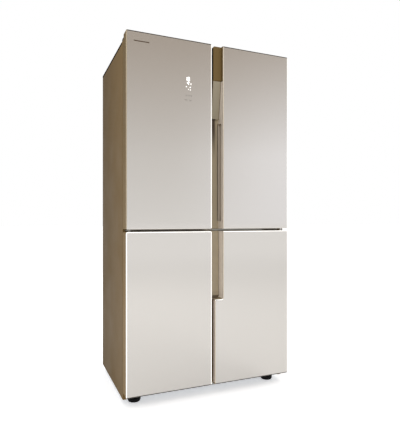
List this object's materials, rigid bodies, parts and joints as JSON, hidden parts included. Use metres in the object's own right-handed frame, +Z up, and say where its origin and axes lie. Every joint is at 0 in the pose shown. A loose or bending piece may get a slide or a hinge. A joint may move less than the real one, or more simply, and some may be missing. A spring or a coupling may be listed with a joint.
{
  "type": "side by side refrigerator",
  "caption": "Free-standing refrigerator with upper and lower hinged glass-fronted doors side by side, recessed handle channel, insulated cabinet, shelves, drawers and rear machine room.",
  "frame": {"origin": "centre of the footprint, on the floor", "axes": "+Z up, doors face -Y, the left column of doors is at -X"},
  "size_m": [0.91, 0.64, 1.815],
  "materials": {
    "champagne_glass": "gloss",
    "champagne_paint": "satin",
    "door_body_paint": "satin",
    "door_trim": "satin",
    "galvanised": "satin",
    "black_steel": "satin",
    "black_plastic": "satin",
    "gasket_grey": "matte",
    "liner_white": "satin",
    "clear_plastic": "gloss",
    "shelf_glass": "gloss",
    "foam": "matte",
    "aluminium": "satin",
    "hinge_steel": "satin"
  },
  "bodies": {
    "cabinet": {"outer_cabinet": "champagne_paint", "front_cross_frame": "champagne_paint", "rear_panel": "galvanised", "base_pan": "galvanised", "machine_room_cover": "galvanised", "insulation_foam": "foam", "freezer_liner_upper": "liner_white", "freezer_liner_lower": "liner_white", "fridge_liner_upper": "liner_white", "fridge_liner_lower": "liner_white", "freezer_air_duct": "liner_white", "fridge_air_duct": "liner_white", "freezer_shelf": "shelf_glass", "fridge_shelf_upper": "shelf_glass", "fridge_shelf_lower": "shelf_glass", "freezer_drawer_upper": "clear_plastic", "freezer_drawer_lower": "clear_plastic", "crisper_drawer_upper": "clear_plastic", "crisper_drawer_lower": "clear_plastic", "evaporator": "aluminium", "condenser": "aluminium", "compressor": "black_steel", "drip_tray": "black_plastic", "top_hinge_cover_left": "black_plastic", "top_hinge_cover_right": "black_plastic", "top_hinge_left": "hinge_steel", "top_hinge_right": "hinge_steel", "middle_hinge_left": "hinge_steel", "middle_hinge_right": "hinge_steel", "bottom_hinge_left": "hinge_steel", "bottom_hinge_right": "hinge_steel"},
    "upper_left_door": {"upper_left_door_body": "door_body_paint", "upper_left_door_glass": "champagne_glass", "upper_left_door_gasket": "gasket_grey", "upper_left_door_liner": "liner_white", "upper_left_door_bin": "clear_plastic", "display_module": "black_plastic"},
    "upper_right_door": {"upper_right_door_body": "door_body_paint", "upper_right_door_glass": "champagne_glass", "upper_right_door_gasket": "gasket_grey", "upper_right_door_liner": "liner_white", "upper_right_door_bin": "clear_plastic", "upper_handle_lining": "door_trim"},
    "lower_left_door": {"lower_left_door_body": "door_body_paint", "lower_left_door_glass": "champagne_glass", "lower_left_door_gasket": "gasket_grey", "lower_left_door_liner": "liner_white", "lower_left_door_bin": "clear_plastic"},
    "lower_right_door": {"lower_right_door_body": "door_body_paint", "lower_right_door_glass": "champagne_glass", "lower_right_door_gasket": "gasket_grey", "lower_right_door_liner": "liner_white", "lower_right_door_bin": "clear_plastic", "lower_handle_lining": "door_trim"},
    "leveling_foot_left": {"leveling_foot_left": "black_plastic"},
    "leveling_foot_right": {"leveling_foot_right": "black_plastic"},
    "rear_roller_left": {"rear_roller_left": "black_plastic"},
    "rear_roller_right": {"rear_roller_right": "black_plastic"},
    "condenser_fan": {"condenser_fan": "black_plastic"},
    "evaporator_fan": {"evaporator_fan": "liner_white"}
  },
  "joints": [
    {"name": "upper_left_door_hinge", "type": "hinge", "parent": "cabinet", "child": "upper_left_door", "pos_m": [-0.433, -0.29, 0.865], "axis": [0, 0, -1], "range_deg": [0, 110]},
    {"name": "upper_right_door_hinge", "type": "hinge", "parent": "cabinet", "child": "upper_right_door", "pos_m": [0.433, -0.29, 0.865], "axis": [0, 0, 1], "range_deg": [0, 110]},
    {"name": "lower_left_door_hinge", "type": "hinge", "parent": "cabinet", "child": "lower_left_door", "pos_m": [-0.433, -0.29, 0.062], "axis": [0, 0, -1], "range_deg": [0, 110]},
    {"name": "lower_right_door_hinge", "type": "hinge", "parent": "cabinet", "child": "lower_right_door", "pos_m": [0.433, -0.29, 0.062], "axis": [0, 0, 1], "range_deg": [0, 110]},
    {"name": "leveling_foot_left_turn", "type": "hinge", "parent": "cabinet", "child": "leveling_foot_left", "pos_m": [-0.387, -0.203, 0], "axis": [0, 0, 1], "continuous": true},
    {"name": "rear_roller_left_roll", "type": "hinge", "parent": "cabinet", "child": "rear_roller_left", "pos_m": [-0.37, 0.262, 0.017], "axis": [1, 0, 0], "continuous": true},
    {"name": "leveling_foot_right_turn", "type": "hinge", "parent": "cabinet", "child": "leveling_foot_right", "pos_m": [0.387, -0.203, 0], "axis": [0, 0, 1], "continuous": true},
    {"name": "rear_roller_right_roll", "type": "hinge", "parent": "cabinet", "child": "rear_roller_right", "pos_m": [0.37, 0.262, 0.017], "axis": [1, 0, 0], "continuous": true},
    {"name": "condenser_fan_spin", "type": "hinge", "parent": "cabinet", "child": "condenser_fan", "pos_m": [0.115, 0.228, 0.15], "axis": [1, 0, 0], "continuous": true},
    {"name": "evaporator_fan_spin", "type": "hinge", "parent": "cabinet", "child": "evaporator_fan", "pos_m": [-0.2175, 0.2285, 1.47], "axis": [0, 1, 0], "continuous": true}
  ]
}
